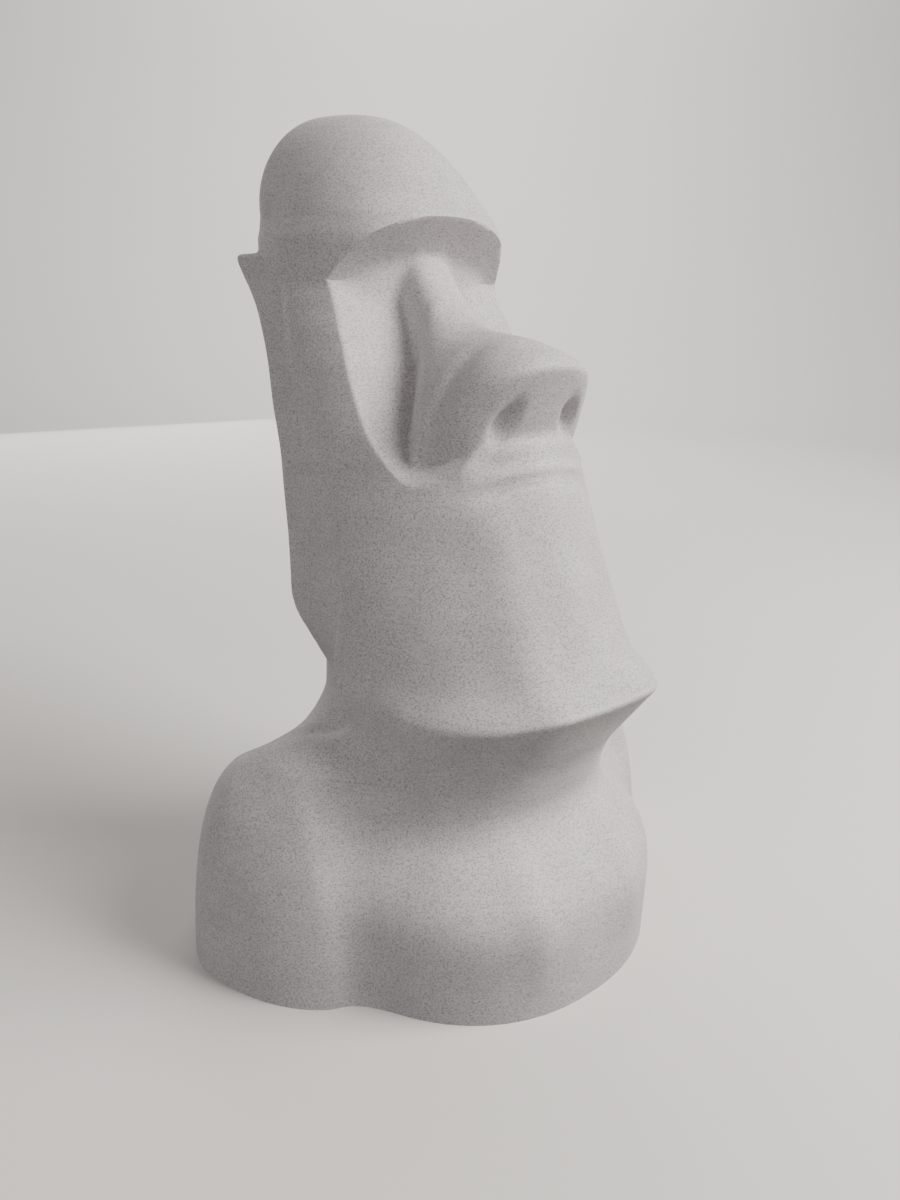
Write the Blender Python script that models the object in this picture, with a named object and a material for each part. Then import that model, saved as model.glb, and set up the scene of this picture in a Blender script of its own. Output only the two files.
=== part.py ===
"""Stone head on shoulders: one closed solid, standing on its flat underside.

The face looks to -y, z is up and x = 0 is its plane of symmetry. The form is a set of rounded
masses joined and cut with soft edges. Rays from a spine inside it find the surface, and the rows
and columns of rays follow the brow, nose, mouth, chin, ears and neck.
"""
import bmesh
import bpy
import numpy as np

for item in list(bpy.data.objects):
    bpy.data.objects.remove(item, do_unlink=True)

# Overall sizes in metres.
HEIGHT = 0.5107
WIDTH = 0.3597
DEPTH = 0.3039

NAME = "moai_bust"
STONE_COLOUR = (0.565, 0.550, 0.542, 1.0)
STONE_ROUGHNESS = 0.72
SHARP_ANGLE = 0.61

# Shape, in millimetres at the sizes above; a change of those sizes stretches all of it.
# Outline of the head, level by level: height, half width, y of the widest place, y of the
# front, y of the back, roundness of the front.
HEAD = np.array([
    (160, 103.5, 14.0, -145.0, 100, 2.30),
    (190, 101.5, 14.0, -119.7, 104, 2.25),
    (210, 99.5, 19.0, -103.5, 107, 1.92),
    (243, 96.5, 26.0, -86.5, 112, 1.72),
    (270, 94.0, 33.0, -74.5, 120, 1.66),
    (300, 91.0, 45.0, -62.0, 130, 1.70),
    (327, 89.0, 62.0, -48.0, 140, 1.85),
    (350, 85.0, 80.0, -25.0, 150, 1.90),
    (382, 81.5, 100.0, 12.0, 161, 1.86),
    (397, 81.0, 106.0, 22.0, 164, 1.72),
    (411, 75.6, 108.0, 34.0, 166.5, 2.03),
    (433, 74.7, 121.0, 32.6, 172.0, 2.42),
    (447, 68.8, 132.0, 37.2, 179.5, 2.66)])
HEAD_BACK_ROUND = 2.3
CROWN = dict(start=447.0, top=510.7, sharp=2.47, lean=49.2, lean_back=-27.4,
             back_start=400.0, back_round=2.0, shrink=24.8, soften=0.85, narrow=16.7)
# Under the chin: height and share of the chin's outline.
NECK = np.array([
    (95, 0.65), (125, 0.71), (140, 0.75), (150, 0.785), (160, 0.83),
    (170, 0.874), (180, 0.930), (190, 1.0), (215, 1.12), (300, 3.0)])
CHIN = dict(half_width=101.5, mid=14.0, front=133.7, back=92.0, roundness=2.25, side=0.35)
# The chin's edge is highest in front and dips at the sides: y and height.
CHIN_EDGE = np.array([(-120, 194.0), (-85, 183.5), (-50, 179.7), (-18, 181.5), (16, 189.0)])

# Brow: the edge arches from the middle of the forehead down to its ends.
BROW = dict(half=64.7, y=37.7, z=447.3, crease_y=69.7, crease_z=410.7)
EYE_SLOPE, EYE_CURVE = 0.50, 0.0027
# The hollow fades out downwards: half width, height where it ends, length of the fade.
EYE_END = np.array([(0, 335, 10), (30, 330, 10), (46, 316, 12), (56, 307, 12), (64, 303, 13)])

# Nose: edge of the underside, ridge and the line where it leaves the face.
NOSE = dict(tip_y=-60.2, tip_z=370.6, half=54.5, back=44.2, drop=40.6, drop_more=16.2, under=0.42)
RIDGE = np.array([
    (-60.2, 370.6), (-56.5, 374.5), (-50, 378.0), (-40, 381.0), (-30, 383.5), (-12, 385.0),
    (3, 386.5), (17, 390.0), (27, 395.0), (38, 406.0), (47, 415.5), (58, 428.0), (72, 444.0)])
ROOT = np.array([
    (-16, 54.5, 313.8), (-8, 59.4, 311), (9, 48, 332), (24, 32.5, 345), (38, 21, 360),
    (54, 18.5, 385), (66, 19.5, 402), (72, 21, 411)])
NOSTRIL = dict(x=24.0, z=341.0, half_width=6.5, half_height=10.0, lean=0.25, depth=6.5)
LOBE = dict(x=50.0, z=322.0, size=10.0, swell=2.0)
MOUTH = dict(z=304.3, drop=7.3, half=40.0, set_back=2.0, lip_z=11.0, lip=1.6)

CHEEKS = dict(x=38.0, width=13.0, height=1.6, low=150.0, high=306.0)

# Ears: height, y of the front edge, y of the back edge, half width at the face.
EAR = np.array([
    (222, 13, 60, 101.0), (247, 15, 65, 99.0), (265, 17, 69, 97.5), (290, 27, 77, 95.0),
    (313, 56, 86, 91.5), (339, 71, 97, 89.5), (365, 86, 105, 88.0), (393, 96, 118, 87.0),
    (420, 105, 144, 85.5)])
EAR_TOP, EAR_BOTTOM, EAR_RISE, EAR_SLOPE = 424.0, 222.0, 4.0, 1.8
EAR_FLARE, EAR_FLARE_TOP, EAR_FLARE_START = 0.16, 0.10, 330.0
# Head behind the ears: height, half width, y of the widest place, front, back.
CORE = np.array([
    (100, 78, 30, -40, 112), (190, 78, 30, -30, 104), (230, 78, 35, 0, 108),
    (270, 80, 45, 0, 118), (300, 80, 60, 10, 128), (350, 79, 85, 30, 148),
    (400, 77, 105, 60, 166), (433, 75, 112, 60, 175), (440, 70, 112, 60, 174)])
CORE_TOP = 440.0

SHOULDER = dict(x=134.0, y=43.0, half=46.2, front=77.1, back=66.0, z=-35.3, up=164.1, down=120.0,
                round=1.56, round_up=2.59)
CHEST = dict(half=121.1, y=34.5, front=152.9, back=118.0, z=30.9, up=57.0, down=339.0,
             round=2.25, round_up=3.85)
# Two soft upright folds on the chest.
RIDGES = dict(x=40.0, width=13.0, height=2.6, low=40.0, high=150.0)
# Radii of the fillets and rounded edges between the masses.
BLEND_CHEST, BLEND_EDGE, BLEND_SOFT, WING_SOFT = 27.4, 2.0, 6.0, 10.0
NAPE_SOFT = 26.0
BLEND_NECK = dict(most=69.0, least=6.0, high=185.0, run=51.0)


def glide(t, knots, values):
    """Smooth curve through the knots that never overshoots; held at both ends."""
    k, v = np.asarray(knots, float), np.asarray(values, float)
    h = np.diff(k)
    d = np.diff(v) / h
    m = np.zeros_like(v)
    turn = d[:-1] * d[1:] <= 0
    low = np.where(turn, 1.0, d[:-1])
    high = np.where(turn, 1.0, d[1:])
    w1, w2 = 2 * h[1:] + h[:-1], h[1:] + 2 * h[:-1]
    m[1:-1] = np.where(turn, 0, (w1 + w2) / (w1 / low + w2 / high))
    m[0], m[-1] = d[0], d[-1]
    t = np.clip(t, k[0], k[-1])
    i = np.clip(np.searchsorted(k, t, side="right") - 1, 0, len(h) - 1)
    s = (t - k[i]) / h[i]
    return ((1 + 2 * s) * (1 - s) ** 2 * v[i] + s * (1 - s) ** 2 * h[i] * m[i]
            + s * s * (3 - 2 * s) * v[i + 1] + s * s * (s - 1) * h[i] * m[i + 1])


def join(a, b, soft):
    """Union of two forms with a fillet."""
    h = np.clip(0.5 + 0.5 * (b - a) / soft, 0, 1)
    return b + (a - b) * h - soft * h * (1 - h)


def meet(a, b, soft):
    """What two forms share, with a rounded edge."""
    return -join(-a, -b, soft)


def ease(t):
    """0 to 1 with flat ends."""
    t = np.clip(t, 0, 1)
    return t * t * (3 - 2 * t)


def oval(x, y, half, mid, front, back, front_round, back_round):
    """1 on a rounded outline, less inside it."""
    u = np.abs(x) / half
    v = np.where(y < mid, (mid - y) / (mid - front), (y - mid) / np.maximum(back - mid, 5))
    n = np.where(y < mid, front_round, back_round)
    return (u ** n + v ** n) ** (1 / n)


def head_shell(x, y, z):
    """Head with a rounded crown, drawn in under the chin's edge."""
    lift = glide(y, CHIN_EDGE[:, 0], CHIN_EDGE[:, 1]) - 190
    level = z - lift * ease(1 - np.abs(z - 188) / 55)
    half, mid, front, back, rounded = (glide(level, HEAD[:, 0], HEAD[:, i]) for i in range(1, 6))
    c = CROWN
    w = np.clip((z - c["start"]) / (c["top"] - c["start"]), 0, 3)
    rounded = np.maximum(rounded - c["soften"] * w, 1.5)
    back_round = HEAD_BACK_ROUND + (c["back_round"] - HEAD_BACK_ROUND) * ease((z - c["back_start"]) / 40)
    leaned = y - c["lean"] * w - c["lean_back"] * w * w
    r = oval(x, leaned, half - c["narrow"] * w, mid, front, back - c["shrink"] * w, rounded, back_round)
    r = (r ** c["sharp"] + w ** c["sharp"]) ** (1 / c["sharp"])
    share = glide(level, NECK[:, 0], NECK[:, 1])
    k = CHIN
    wide = 1 - k["side"] * (1 - share)
    under = oval(x, y, k["half_width"] * wide, k["mid"], k["mid"] - k["front"] * share,
                 k["mid"] + k["back"] * share, k["roundness"], HEAD_BACK_ROUND)
    return meet((r - 1) * 75, (under - 1) * 90, BLEND_EDGE)


def brow_edge(s):
    """y and height of the brow's edge; s runs 0 to 1 from the middle to the end."""
    y = BROW["y"] + (BROW["crease_y"] - BROW["y"]) * s ** 4
    z = BROW["z"] - (BROW["z"] - BROW["crease_z"]) * (0.34 * s ** 2 + 0.66 * s ** 6)
    return y, z


def eye_depth(z):
    """y of the flat hollow under the brow."""
    s = np.clip(BROW["crease_z"] - z, 0, 200)
    return BROW["crease_y"] - EYE_SLOPE * s - EYE_CURVE * s * s


def eye_hollow(x, y, z):
    """Below 0 in the space cut away under the brow."""
    s = np.clip(np.abs(x) / BROW["half"], 0, 0.999)
    edge_y, edge_z = brow_edge(s)
    run = (BROW["crease_y"] - y) / np.maximum(BROW["crease_y"] - edge_y, 0.001)
    run = np.clip(run, -1, 1.6)
    under = BROW["crease_z"] + (edge_z - BROW["crease_z"]) * np.sign(run) * np.abs(run) ** 0.9
    return np.maximum((y - eye_depth(z)) * 0.8, (z - under) * 0.7)


def nose_edge(t):
    """Point of the underside's front edge; t is 0 in the middle, a quarter turn at the wing."""
    s = 1 - np.cos(t)
    n = NOSE
    fall = n["drop"] * s + n["drop_more"] * s * s
    return n["half"] * np.sin(t), n["tip_y"] + n["back"] * s, n["tip_z"] - fall


EDGE_X, EDGE_Y, EDGE_Z = nose_edge(np.linspace(0, np.pi / 2, 60))
SIDE_Y = np.concatenate([EDGE_Y, ROOT[1:, 0]])
SIDE_X = np.concatenate([EDGE_X, ROOT[1:, 1]])
SIDE_Z = np.concatenate([EDGE_Z, ROOT[1:, 2]])


def nose(x, y, z):
    """Rounded ridge over the line where the nose leaves the face, cut off by its underside."""
    x = np.abs(x)
    side = np.maximum(np.interp(y, SIDE_Y, SIDE_X), 0.5)
    foot = np.interp(y, SIDE_Y, SIDE_Z)
    top = np.maximum(glide(y, RIDGE[:, 0], RIDGE[:, 1]), foot + 0.5)
    tall = (top - foot)
    up = np.maximum(z - foot, 0) / tall
    blunt = 1.75 + 1.1 * ease((y - 5) / 40)
    r = ((x / side) ** blunt + up ** blunt) ** (1 / blunt)
    f = (r - 1) * np.minimum(side, tall) * 0.8
    f = np.maximum(f, (NOSE["tip_y"] - y))
    edge_z = np.interp(x, EDGE_X, EDGE_Z)
    edge_y = np.interp(x, EDGE_X, EDGE_Y)
    under = edge_y + NOSE["under"] * (edge_z - z)
    f = meet(f, (under - y) * 0.9, BLEND_EDGE + WING_SOFT * ease((x - 22) / 30))
    return np.maximum(np.maximum(f, 306 - z), y - 76)


def ear(x, y, z):
    """Flat strip standing off the side of the head."""
    x = np.abs(x)
    front, back, face = (glide(z, EAR[:, 0], EAR[:, i]) for i in (1, 2, 3))
    flare = EAR_FLARE + EAR_FLARE_TOP * ease((z - EAR_FLARE_START) / 60)
    f = meet(x - face - flare * (y - back), y - back, 4.0)
    f = meet(f, front - 3 - y, BLEND_EDGE)
    f = meet(f, (z - EAR_TOP - 0.1 * (face - x)) * 0.9, BLEND_EDGE)
    low = EAR_BOTTOM + EAR_RISE * ease((60 - y) / 47)
    return meet(f, (low - EAR_SLOPE * (face - x) - z) * 0.5, BLEND_SOFT)


def core(x, y, z):
    """Head behind and between the ears."""
    half, mid, front, back = (glide(z, CORE[:, 0], CORE[:, i]) for i in (1, 2, 3, 4))
    r = oval(x, y, half, mid, front, back, 2.3, 2.3)
    return np.maximum((r - 1) * 78, z - CORE_TOP)


def relief(x, y, z):
    """Shallow carving of the lower face, in mm taken off; what stands out counts below 0."""
    x = np.abs(x)
    front = ease((30 - y) / 20)
    m = MOUTH
    line = m["z"] - m["drop"] * (x / m["half"]) ** 2
    near = ease((m["half"] + 12 - x) / 26) * ease((328 - z) / 12) * front
    lip = m["lip"] * np.exp(-((z - line - m["lip_z"]) / 3.6) ** 2)
    cut = near * (m["set_back"] * ease((z - line + 0.5) / 1.0) - lip)
    under = ease((-30 - y) / 8)
    n = NOSTRIL
    du = (x - n["x"] + n["lean"] * (z - n["z"])) / n["half_width"]
    dv = (z - n["z"]) / n["half_height"]
    cut = cut + n["depth"] * np.exp(-(du * du + dv * dv) ** 1.5) * under
    b = LOBE
    swell = np.exp(-((x - b["x"]) / b["size"]) ** 2 - ((z - b["z"]) / b["size"]) ** 2)
    cut = cut - b["swell"] * swell * under
    c = CHEEKS
    along = ease((z - c["low"]) / 30) * ease((c["high"] - z) / 25) * front
    return cut - c["height"] * along * np.exp(-((x - c["x"]) / c["width"]) ** 2)


def chest_relief(x, y, z):
    r = RIDGES
    band = ease((z - r["low"] + 40) / 60) * ease((r["high"] - z) / 40) * ease((-40 - y) / 30)
    bump = np.exp(-((np.abs(x) - r["x"]) / r["width"]) ** 2) - 0.6 * np.exp(-(x / 20.0) ** 2)
    return -r["height"] * band * bump


def head(x, y, z):
    shell = head_shell(x, y, z)
    end, run = (glide(np.abs(x), EYE_END[:, 0], EYE_END[:, i]) for i in (1, 2))
    f = shell + ease((z - end) / run) * (np.maximum(shell, -eye_hollow(x, y, z)) - shell)
    behind = glide(z, EAR[:, 0], EAR[:, 1]) + 400 * np.clip((z - EAR_TOP) / 6, 0, 1)
    f = meet(f, y - behind, 3.0 + NAPE_SOFT * ease((192 - z) / 45))
    f = join(f, nose(x, y, z), 3.0)
    f = join(f, core(x, y, z), BLEND_SOFT)
    f = join(f, ear(x, y, z), 3.0)
    return f + relief(x, y, z)


def mound(x, y, z, k):
    """Rounded mass standing on the ground."""
    up = np.where(z > k["z"], (z - k["z"]) / k["up"], (k["z"] - z) / k["down"])
    v = np.where(y < k["y"], (k["y"] - y) / k["front"], (y - k["y"]) / k["back"])
    r = (np.abs(x) / k["half"]) ** k["round"] + v ** k["round"]
    r = (r ** (k["round_up"] / k["round"]) + up ** k["round_up"]) ** (1 / k["round_up"])
    return (r - 1) * k["half"]


def form(x, y, z):
    """Below 0 inside the statue, roughly the distance to its surface near it."""
    shoulders = mound(np.abs(x) - SHOULDER["x"], y, z, SHOULDER)
    body = join(shoulders, mound(x, y, z, CHEST), BLEND_CHEST) + chest_relief(x, y, z)
    b = BLEND_NECK
    soft = b["least"] + (b["most"] - b["least"]) * ease((b["high"] - z) / b["run"])
    return join(head(x, y, z), body, soft)


# Rays leave a curved spine inside the statue and tilt up towards the crown.
# Spine: place from 0 to 1, y and height. Tilt: place and degrees.
SPINE = np.array([
    (0, 30, 0), (0.30, 22, 96), (0.42, 20, 155), (0.62, 55, 290), (0.82, 105, 395), (1, 125, 430)])
TILT = np.array([(0, 0), (0.12, 10), (0.3, 24), (0.45, 21), (0.8, 22), (0.9, 45), (1.0, 90)])


def spine(v):
    return (glide(v, SPINE[:, 0], SPINE[:, 1]), glide(v, SPINE[:, 0], SPINE[:, 2]),
            np.radians(glide(v, TILT[:, 0], TILT[:, 1])))


def locate(x, y, z):
    """Place on the spine and turn of the ray that runs through a point."""
    x, y, z = (np.asarray(c, float) for c in (x, y, z))
    low, high = np.zeros_like(x), np.ones_like(x)
    for _ in range(40):
        v = (low + high) / 2
        oy, oz, tilt = spine(v)
        below = oz + np.hypot(x, y - oy) * np.tan(np.minimum(tilt, 1.55)) < z
        low, high = np.where(below, v, low), np.where(below, high, v)
    oy = spine(v)[0]
    return v, np.arctan2(np.abs(x), oy - y)


def reach(v, turn, far=250.0, marches=84, halvings=24):
    """Surface points on the rays."""
    oy, oz, tilt = spine(v)
    d = np.stack([np.sin(turn) * np.cos(tilt), -np.cos(turn) * np.cos(tilt), np.sin(tilt)], -1)
    o = np.stack([0 * oy, oy, oz], -1)
    low = np.zeros(turn.shape)
    for t in np.linspace(0, far, marches):
        p = o + d * t
        low = np.where(form(p[..., 0], p[..., 1], p[..., 2]) < 0, t, low)
    high = low + far / (marches - 1)
    for _ in range(halvings):
        t = (low + high) / 2
        p = o + d * t[..., None]
        inside = form(p[..., 0], p[..., 1], p[..., 2]) < 0
        low, high = np.where(inside, t, low), np.where(inside, high, t)
    return o + d * low[..., None]


def traced(points):
    """Turn and spine place along a line given by points from front to back."""
    p = np.array(points, float)
    v, turn = locate(p[:, 0], p[:, 1], p[:, 2])
    return turn, v


def chin_edge(count=15):
    """Points of the chin's edge from the middle to the jaw's side: a rounded outline whose height
    follows the dip."""
    k = CHIN
    t = np.linspace(0, np.pi / 2, count)
    x = k["half_width"] * np.sin(t) ** (2 / k["roundness"])
    y = k["mid"] - k["front"] * np.cos(t) ** (2 / k["roundness"])
    return list(zip(x, y, glide(y, CHIN_EDGE[:, 0], CHIN_EDGE[:, 1])))


def ring_lines():
    """Level lines that the rows follow, bottom to top, as (turn, spine place)."""
    t = np.linspace(0, np.pi / 2, 15)
    ex, ey, ez = nose_edge(t)
    s = np.linspace(0, 1, 15)
    by, bz = brow_edge(s)
    chin = chin_edge() + [(85, 55, 192), (0, 104, 200)]
    lobe = [(0, -93, 226), (50, -80, 226), (80, -50, 226), (98, 0, 223), (101, 18, 223),
            (101, 60, 221), (80, 80, 222), (0, 108, 228)]
    mouth = [(0, -53.4, 304.3), (20, -51, 302.5), (40, -44.4, 297), (62, -22, 292), (90, 40, 298),
             (92, 85, 300), (0, 130, 302)]
    wing = [(0, -44, 325), (20, -43, 324), (38, -37, 321), (50, -24, 313), (59, -9, 310.5),
            (72, 4, 312), (88, 50, 318), (91, 90, 322), (0, 138, 326)]
    edge = list(zip(ex, ey, ez)) + [
        (60, -6, 313), (70, 8, 330), (85, 60, 345), (89, 100, 350), (0, 148, 352)]
    crease = [(0, 50, 431), (10, 51, 430.5), (18, 57, 425), (23, 69.7, 412), (40, 69.7, 411),
              (64.7, 69.7, 410.9), (74, 85, 416), (80, 100, 420.5), (85.5, 125, 421), (85, 144, 421),
              (0, 174, 422)]
    brow = list(zip(BROW["half"] * s, by, bz)) + [
        (74, 88, 421), (76.5, 105, 427), (77, 125, 427.5), (70, 145, 428), (0, 176, 430)]
    full = np.array([0, np.pi])
    neck = [(0, -90, 128), (45, -82, 130), (75, -45, 137), (92, 5, 148), (92, 40, 152),
            (80, 85, 145), (0, 113, 135)]
    lines = [(full, full * 0)] + [traced(p) for p in (neck, chin, lobe, mouth, wing, edge, crease, brow)]
    return lines + [(full, full * 0 + 1)]


def column_lines():
    """Upright lines that the columns follow, front to back, as (spine place, turn)."""
    level = np.linspace(320, BROW["crease_z"], 14)
    near, wide = np.full(14, 45.0), np.full(14, 95.0)
    for _ in range(30):
        mid = (near + wide) / 2
        inside = head_shell(mid, eye_depth(level), level) < 0
        near, wide = np.where(inside, mid, near), np.where(inside, wide, mid)
    hollow = list(zip(near, eye_depth(level), level))
    root = [(r[1], r[0], r[2]) for r in ROOT[1:]]
    jaw = [(84, 12, 150), (95, 12, 165), (101.5, 12, 190)]
    ear_front = jaw + [(r[3] + 1, r[1] - 1, r[0]) for r in EAR]
    step = [(78, 14, 150), (79, 14, 165), (80, 14, 200)] + [(r[3] - 1, r[1] + 2, r[0]) for r in EAR]
    ear_back = [(r[3], r[2], r[0]) for r in EAR]

    def line(points, below, above):
        p = np.array(points, float)
        v, turn = locate(p[:, 0], p[:, 1], p[:, 2])
        v = np.concatenate([[b[0] for b in below], v, [a[0] for a in above]])
        first, last = (np.radians([e[1] for e in end]) for end in (below, above))
        return v, np.concatenate([first, turn, last])

    ends = np.array([0.0, 1.0])
    return [(ends, ends * 0),
            line(root, [(0, 22), (0.42, 24), (0.5, 32)], [(0.88, 30), (1, 30)]),
            line(hollow, [(0, 48), (0.42, 50), (0.55, 57)], [(0.9, 60), (1, 62)]),
            line(ear_front, [(0, 78), (0.25, 82)], [(0.9, 92), (1, 96)]),
            line(step, [(0, 86), (0.25, 88)], [(0.9, 98), (1, 103)]),
            line(ear_back, [(0, 110), (0.3, 112)], [(0.9, 115), (1, 125)]),
            (ends, ends * 0 + np.pi)]


ROWS = [10, 6, 4, 6, 3, 4, 9, 3, 9]
COLUMNS = [11, 8, 7, 1, 5, 10]


def spread(counts):
    """Band number and place in the band for every grid line."""
    band = np.concatenate([np.full(n, i) for i, n in enumerate(counts)] + [[len(counts) - 1]])
    place = np.concatenate([np.arange(n) / n for n in counts] + [[1.0]])
    return band, place


def grid(rows=ROWS, columns=COLUMNS, gap=0.0022):
    """Spine place and turn of every grid corner of the right half."""
    rings, uprights = ring_lines(), column_lines()
    rb, rp = spread(rows)
    cb, cp = spread(columns)
    turn = np.pi * (np.arange(len(cb)) / (len(cb) - 1))[None, :] * np.ones((len(rb), 1))
    v = np.zeros_like(turn)
    for turns in range(14):
        levels = [np.interp(turn, *r) for r in rings]
        for i, n in enumerate(rows[:-1]):
            need = gap * min(n, 6) * (ROWS[i] / n)
            room = levels[i + 1] - levels[i]
            levels[i + 1] = levels[i] + (room + np.sqrt(room * room + 4 * need * need)) / 2
        levels = np.array(levels)
        k = np.arange(len(rb))
        new = levels[rb][k, k] * (1 - rp[:, None]) + levels[rb + 1][k, k] * rp[:, None]
        v = (v + new) / 2 if turns else new
        lines = np.array([np.interp(v, *c) for c in uprights])
        c = np.arange(len(cb))
        for i in range(3, 5):
            lines[i] = np.maximum(lines[i], lines[i - 1] + 0.010)
        aim = (lines[cb][c, :, c].T * (1 - cp) + lines[cb + 1][c, :, c].T * cp)
        turn = (turn + aim) / 2
    return v, turn


def statue_points():
    """All corners of the surface in metres, one row per ring, the box centred over the origin."""
    v, turn = grid()
    right = reach(v, turn)
    left = (right * [-1, 1, 1])[:, -2:0:-1]
    points = np.concatenate([right, left], 1)
    points[-1] = points[-1].mean(0)
    low, high = points.min((0, 1)), points.max((0, 1))
    middle = np.array([0, (low[1] + high[1]) / 2, 0])
    return (points - middle) * np.array([WIDTH, DEPTH, HEIGHT]) / (high - low)


def build_statue():
    points = statue_points()
    rows, around = points.shape[:2]
    mesh = bmesh.new()
    rings = [[mesh.verts.new(p) for p in row] for row in points[:-1]]
    foot = mesh.verts.new((0, 0, 0))
    crown = mesh.verts.new(points[-1, 0])
    for i in range(around):
        j = (i + 1) % around
        mesh.faces.new((rings[0][j], rings[0][i], foot))
        mesh.faces.new((rings[-1][i], rings[-1][j], crown))
        for low, high in zip(rings[:-1], rings[1:]):
            mesh.faces.new((low[i], low[j], high[j], high[i]))
    bmesh.ops.triangulate(mesh, faces=mesh.faces[:], quad_method="SHORT_EDGE")
    bmesh.ops.recalc_face_normals(mesh, faces=mesh.faces[:])
    data = bpy.data.meshes.new(NAME)
    mesh.to_mesh(data)
    mesh.free()
    statue = bpy.data.objects.new(NAME, data)
    bpy.context.scene.collection.objects.link(statue)
    data.shade_smooth()
    data.set_sharp_from_angle(angle=SHARP_ANGLE)
    stone = bpy.data.materials.new("speckled_stone")
    stone.use_nodes = True
    shader = stone.node_tree.nodes["Principled BSDF"]
    shader.inputs["Base Color"].default_value = STONE_COLOUR
    shader.inputs["Roughness"].default_value = STONE_ROUGHNESS
    shader.inputs["Metallic"].default_value = 0.0
    data.materials.append(stone)
    return statue


build_statue()
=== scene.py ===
"""Looks of the stone head, built as a Blender add-on that is run as a script.

The surface is the part's own form at a finer pitch: rays from a spine inside the statue find it,
and their rows and columns follow the brow, nose, mouth, chin, ears and neck.
"""

import math

import bpy
import numpy as np
from bpy.props import FloatProperty, FloatVectorProperty, IntProperty, PointerProperty
from bpy.types import Operator, Panel, PropertyGroup
from mathutils import Euler, Matrix, Vector


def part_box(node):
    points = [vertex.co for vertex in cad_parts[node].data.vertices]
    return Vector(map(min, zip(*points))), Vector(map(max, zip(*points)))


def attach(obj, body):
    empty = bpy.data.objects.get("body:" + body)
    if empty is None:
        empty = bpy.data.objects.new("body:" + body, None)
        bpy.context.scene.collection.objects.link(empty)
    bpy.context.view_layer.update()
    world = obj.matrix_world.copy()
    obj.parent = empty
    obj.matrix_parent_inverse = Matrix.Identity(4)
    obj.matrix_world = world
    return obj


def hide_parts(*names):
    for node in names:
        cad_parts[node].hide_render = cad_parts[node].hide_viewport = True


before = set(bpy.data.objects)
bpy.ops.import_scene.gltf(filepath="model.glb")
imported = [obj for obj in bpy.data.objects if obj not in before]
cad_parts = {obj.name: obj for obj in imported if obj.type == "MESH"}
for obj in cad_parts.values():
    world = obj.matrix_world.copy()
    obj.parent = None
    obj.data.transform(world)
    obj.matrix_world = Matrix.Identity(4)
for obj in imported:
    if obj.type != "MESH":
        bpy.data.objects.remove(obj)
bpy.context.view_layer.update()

bl_info = {
    "name": "Stone Head",
    "blender": (4, 5, 0),
    "version": (1, 0, 0),
    "location": "3D View > Sidebar > Stone Head",
    "description": "Builds the fine surface, stone and studio of the stone head statue",
    "category": "Object",
}

NODE = "moai_bust"
PIECE = "stone_head"
SHARP_ANGLE = math.radians(60)
SENSOR_HEIGHT = 36.0
AIR_COLOUR = (0.93, 0.92, 0.915, 1.0)

# Form, in millimetres of the drawn statue; the finished surface is fitted to the CAD box.
# Outline of the head, level by level: height, half width, y of the widest place, y of the
# front, y of the back, roundness of the front.
HEAD = np.array([
    (160, 103.5, 14.0, -145.0, 100, 2.30),
    (190, 101.5, 14.0, -119.7, 104, 2.25),
    (210, 99.5, 19.0, -103.5, 107, 1.92),
    (243, 96.5, 26.0, -86.5, 112, 1.72),
    (270, 94.0, 33.0, -74.5, 120, 1.66),
    (300, 91.0, 45.0, -62.0, 130, 1.70),
    (327, 89.0, 62.0, -48.0, 140, 1.85),
    (350, 85.0, 80.0, -25.0, 150, 1.90),
    (382, 81.5, 100.0, 12.0, 161, 1.86),
    (397, 81.0, 106.0, 22.0, 164, 1.72),
    (411, 75.6, 108.0, 34.0, 166.5, 2.03),
    (433, 74.7, 121.0, 32.6, 172.0, 2.42),
    (447, 68.8, 132.0, 37.2, 179.5, 2.66)])
HEAD_BACK_ROUND = 2.3
CROWN = dict(start=447.0, top=510.7, sharp=2.47, lean=49.2, lean_back=-27.4, shrink=24.8, narrow=16.7,
             soften=0.85, least_round=1.5, back_round=2.0, back_start=400.0, back_run=40.0)
# Under the chin: height and share of the chin's outline.
NECK = np.array([
    (95, 0.65), (125, 0.71), (140, 0.75), (150, 0.785), (160, 0.83),
    (170, 0.874), (180, 0.930), (190, 1.0), (215, 1.12), (300, 3.0)])
CHIN = dict(half_width=101.5, mid=14.0, front=133.7, back=92.0, roundness=2.25, side=0.35)
# The chin's edge is highest in front and dips at the sides: y and height.
CHIN_EDGE = np.array([(-120, 194.0), (-85, 183.5), (-50, 179.7), (-18, 181.5), (16, 189.0)])
# Height in HEAD of the chin's edge; middle and reach of the zone that rises and dips with it.
CHIN_LEVEL, DIP_MIDDLE, DIP_REACH = 190.0, 188.0, 55.0

# Brow: the edge arches from the middle of the forehead down to its ends.
# Arch is the share of its fall over the whole width, hook the share near the ends.
BROW = dict(half=64.7, y=37.7, z=447.3, crease_y=69.7, crease_z=410.7, arch=0.34, hook=0.66)
EYE_SLOPE, EYE_CURVE, UNDER_CURVE = 0.50, 0.0027, 0.9
# The hollow fades out downwards: half width, height where it ends, length of the fade.
EYE_END = np.array([(0, 335, 10), (30, 330, 10), (46, 316, 12), (56, 307, 12), (64, 303, 13)])

# Nose: edge of the underside, ridge and the line where it leaves the face. A ridge point is y
# and height, a root point y, half width and height.
NOSE = dict(tip_y=-60.2, tip_z=370.6, half=54.5, back=44.2, drop=40.6, drop_more=16.2, under=0.42,
            wing_x=22.0, wing_run=30.0, low=306.0, inner=76.0, least=0.5)
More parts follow.
